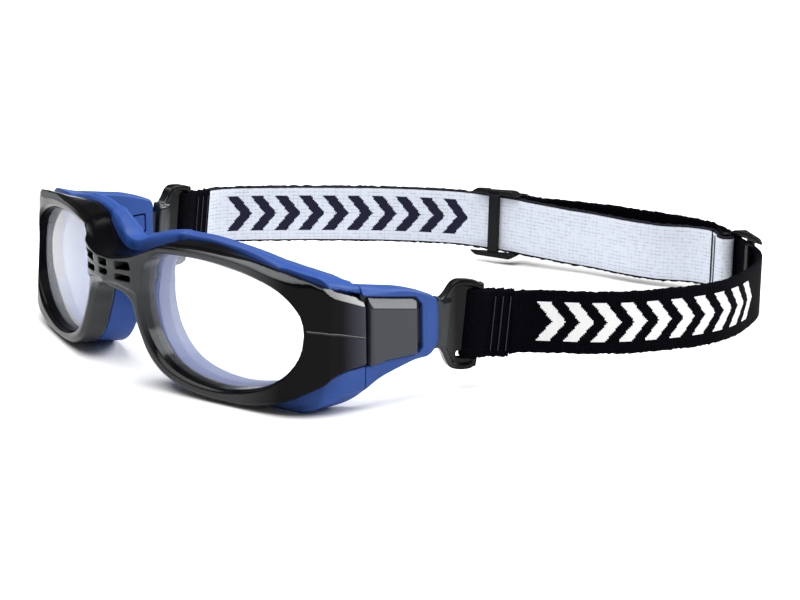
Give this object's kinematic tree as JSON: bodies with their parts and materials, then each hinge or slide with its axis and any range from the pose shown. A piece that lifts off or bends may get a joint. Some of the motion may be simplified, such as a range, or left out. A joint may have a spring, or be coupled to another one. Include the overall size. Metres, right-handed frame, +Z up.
{
  "type": "sports protective goggles",
  "caption": "Wraparound sports goggles with clear lenses in a black front, a blue face cushion, flexing temples, release clips and an adjustable elastic head strap.",
  "frame": {"origin": "middle of the bridge on the lenses' horizontal centre line, in the plane where the two lens planes meet", "axes": "+X to the wearer's left, +Y back from the front towards the strap, +Z up; the wearer looks along -Y"},
  "size_m": [0.1636, 0.1791, 0.0391],
  "materials": {
    "frame_black": "glossy, with softer grey facets",
    "clip_black": "glossy",
    "slider_black": "satin",
    "core_plastic": "satin",
    "soft_blue": "soft matte",
    "clear_lens": "clear, coated",
    "pin_steel": "ground",
    "webbing_black": "woven elastic",
    "webbing_white": "woven elastic, white inside",
    "thread_black": "sewing thread"
  },
  "bodies": {
    "frame": {"front_frame": "frame_black", "lens_left": "clear_lens", "lens_right": "clear_lens", "face_cushion": "soft_blue", "hinge_pin_left": "pin_steel", "hinge_pin_right": "pin_steel", "outer_strap": "webbing_black", "inner_strap": "webbing_white"},
    "temple_left": {"temple_core_left": "core_plastic", "temple_plate_left": "frame_black", "temple_sleeve_left": "soft_blue"},
    "temple_right": {"temple_core_right": "core_plastic", "temple_plate_right": "frame_black", "temple_sleeve_right": "soft_blue"},
    "tab_left": {"release_tab_left": "soft_blue"},
    "tab_right": {"release_tab_right": "soft_blue"},
    "clip_left": {"strap_clip_left": "clip_black", "clip_fold_left": "webbing_black", "clip_stitching_left": "thread_black"},
    "clip_right": {"strap_clip_right": "clip_black", "clip_fold_right": "webbing_black", "clip_stitching_right": "thread_black"},
    "slider_left": {"slider_left": "slider_black", "slider_fold_left": "webbing_black", "slider_stitching_left": "thread_black"},
    "slider_right": {"slider_right": "slider_black", "slider_fold_right": "webbing_black", "slider_stitching_right": "thread_black"}
  },
  "joints": [
    {"name": "temple_flex_left", "type": "hinge", "parent": "frame", "child": "temple_left", "pos_m": [0.0636, 0.0338, 0], "axis": [0, 0, 1], "range_deg": [-8, 20], "stiffness_Nm_per_rad": 0.05, "deforming": ["outer_strap"]},
    {"name": "temple_flex_right", "type": "hinge", "parent": "frame", "child": "temple_right", "pos_m": [-0.0636, 0.0338, 0], "axis": [0, 0, -1], "range_deg": [-8, 20], "stiffness_Nm_per_rad": 0.05, "deforming": ["inner_strap"]},
    {"name": "release_tab_left", "type": "hinge", "parent": "temple_left", "child": "tab_left", "pos_m": [0.0609, 0.0452, 0], "axis": [0, 0, -1], "range_deg": [0, 6], "stiffness_Nm_per_rad": 0.002},
    {"name": "release_tab_right", "type": "hinge", "parent": "temple_right", "child": "tab_right", "pos_m": [-0.0609, 0.0452, 0], "axis": [0, 0, 1], "range_deg": [0, 6], "stiffness_Nm_per_rad": 0.002},
    {"name": "clip_release_left", "type": "slide", "parent": "temple_left", "child": "clip_left", "axis": [0, 0.9945, -0.1045], "range_m": [0, 0.014]},
    {"name": "clip_release_right", "type": "slide", "parent": "temple_right", "child": "clip_right", "axis": [0, 0.9945, -0.1045], "range_m": [0, 0.014]},
    {"name": "slider_travel_left", "type": "slide", "parent": "frame", "child": "slider_left", "axis": [-0.9171, 0.3982, -0.0202], "range_m": [-0.006, 0.006]},
    {"name": "slider_travel_right", "type": "slide", "parent": "frame", "child": "slider_right", "axis": [0.9205, 0.3902, -0.0198], "range_m": [-0.006, 0.006]}
  ],
  "couplings": [
    {"joint": "slider_travel_right", "follows": "slider_travel_left", "ratio": 1}
  ]
}
